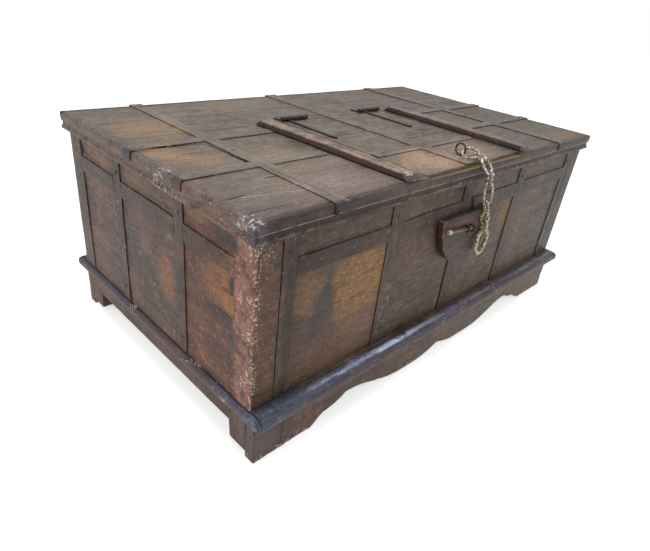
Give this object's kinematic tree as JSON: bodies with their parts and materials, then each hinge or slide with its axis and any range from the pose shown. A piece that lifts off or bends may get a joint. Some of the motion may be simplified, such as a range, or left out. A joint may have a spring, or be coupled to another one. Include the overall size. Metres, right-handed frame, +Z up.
{
  "type": "sea chest",
  "caption": "Large old wooden sea chest with a hinged hatch in its fixed top, iron straps, shaped plinth, and a hasp chain to a staple on a shield-shaped lock block.",
  "frame": {"origin": "on the floor, at the middle of the chest", "axes": "+X along the front to the right, -Y out of the front, +Z up"},
  "size_m": [1.316, 0.804, 0.5604],
  "materials": {
    "top_wood": "worn matt paint and grime over softwood boards",
    "edge_wood": "dark worn varnish, bare wood at the arris",
    "front_wood": "dull old stain with lighter and darker patches",
    "end_wood": "reddish stain, scuffed",
    "moulding_wood": "dark satin varnish",
    "plinth_wood": "red-brown stain, scuffed",
    "inside_wood": "bare sawn softwood",
    "rail_wood": "dark varnish worn through to orange wood on top",
    "block_wood": "dark matt stain",
    "top_iron": "painted over, bluish grey, worn at the ends",
    "wall_iron": "painted over with the wood stain, worn at the corners",
    "hinge_iron": "dull dark iron",
    "dark_iron": "blackened iron",
    "bolt_iron": "dark iron worn bright at the knob",
    "chain_steel": "old plating, pale and dull",
    "chain_brass": "old brass with pale plating left in places"
  },
  "bodies": {
    "chest": {"back_straps": "wall_iron", "back_wall_planks": "front_wood", "base_moulding_back": "moulding_wood", "base_moulding_front": "moulding_wood", "base_moulding_left": "moulding_wood", "base_moulding_right": "moulding_wood", "bolt_keepers": "dark_iron", "corner_angles": "wall_iron", "corner_posts": "inside_wood", "floor_boards": "inside_wood", "floor_ledgers": "inside_wood", "front_straps": "wall_iron", "front_wall_planks": "front_wood", "hasp_staple": "dark_iron", "hatch_header": "inside_wood", "hatch_trimmers": "inside_wood", "hinge_leaves": "hinge_iron", "hinge_pins": "hinge_iron", "left_end_straps": "wall_iron", "left_wall_planks": "end_wood", "lock_block": "block_wood", "plinth_back": "plinth_wood", "plinth_blocks": "plinth_wood", "plinth_front": "plinth_wood", "plinth_left": "plinth_wood", "plinth_right": "plinth_wood", "rail_left": "rail_wood", "rail_right": "rail_wood", "right_end_straps": "wall_iron", "right_wall_planks": "end_wood", "top_battens": "inside_wood", "top_boards_left": "top_wood", "top_boards_rear": "top_wood", "top_boards_right": "top_wood", "top_cross_straps": "top_iron", "top_edge_back": "edge_wood", "top_edge_front": "edge_wood", "top_edge_left": "edge_wood", "top_edge_right": "edge_wood", "top_nails": "top_iron", "top_straps": "top_iron", "wall_nails": "wall_iron"},
    "hatch": {"hatch_boards": "top_wood", "hatch_cleats": "inside_wood", "hatch_straps": "top_iron", "hinge_tails": "hinge_iron", "chain_eye": "dark_iron", "hatch_nails": "top_iron"},
    "bolt": {"bolt": "bolt_iron"},
    "link_1": {"chain_link_1": "chain_steel"},
    "link_2": {"chain_link_2": "chain_steel"},
    "link_3": {"chain_link_3": "chain_steel"},
    "link_4": {"chain_link_4": "chain_steel"},
    "link_5": {"chain_link_5": "chain_steel"},
    "link_6": {"chain_link_6": "chain_brass"},
    "link_7": {"chain_link_7": "chain_brass"},
    "link_8": {"chain_link_8": "chain_brass"},
    "end_ring": {"chain_end_ring": "chain_brass"}
  },
  "joints": [
    {"name": "hatch_hinge", "type": "hinge", "parent": "chest", "child": "hatch", "pos_m": [0, 0.106, 0.5358], "axis": [-1, 0, 0], "range_deg": [0, 170]},
    {"name": "link_1_swing", "type": "hinge", "parent": "hatch", "child": "link_1", "pos_m": [0.01671, -0.31226, 0.54346], "axis": [-0.7875, 0.0275, -0.6157], "range_deg": [0, 60]},
    {"name": "link_2_swing", "type": "hinge", "parent": "link_1", "child": "link_2", "pos_m": [0.01532, -0.35224, 0.542], "axis": [-0.7875, 0.0275, -0.6157], "range_deg": [0, 20]},
    {"name": "link_3_swing", "type": "hinge", "parent": "link_2", "child": "link_3", "pos_m": [0.01477, -0.368, 0.5415], "axis": [-1, 0, 0], "range_deg": [0, 25]},
    {"name": "link_4_swing", "type": "hinge", "parent": "link_3", "child": "link_4", "pos_m": [0.02377, -0.3918, 0.51], "axis": [-1, 0, 0], "range_deg": [0, 25]},
    {"name": "link_5_swing", "type": "hinge", "parent": "link_4", "child": "link_5", "pos_m": [0.03018, -0.3918, 0.48687], "axis": [-0.8733, 0.4226, -0.2422], "range_deg": [0, 25]},
    {"name": "link_6_swing", "type": "hinge", "parent": "link_5", "child": "link_6", "pos_m": [0.04621, -0.3918, 0.42906], "axis": [-0.8733, 0.4226, -0.2422], "range_deg": [0, 25]},
    {"name": "link_7_swing", "type": "hinge", "parent": "link_6", "child": "link_7", "pos_m": [0.05316, -0.3918, 0.404], "axis": [-0.8733, 0.4226, -0.2422], "range_deg": [0, 25]},
    {"name": "link_8_swing", "type": "hinge", "parent": "link_7", "child": "link_8", "pos_m": [0.06064, -0.3918, 0.37702], "axis": [-0.8733, 0.4226, -0.2422], "range_deg": [0, 25]},
    {"name": "end_ring_swing", "type": "hinge", "parent": "link_8", "child": "end_ring", "pos_m": [0.06652, -0.3918, 0.35582], "axis": [-0.9945, 0, -0.1045], "range_deg": [0, 40]},
    {"name": "bolt_slide", "type": "slide", "parent": "chest", "child": "bolt", "axis": [-0.9925, 0, 0.1219], "range_m": [0, 0.03]}
  ]
}
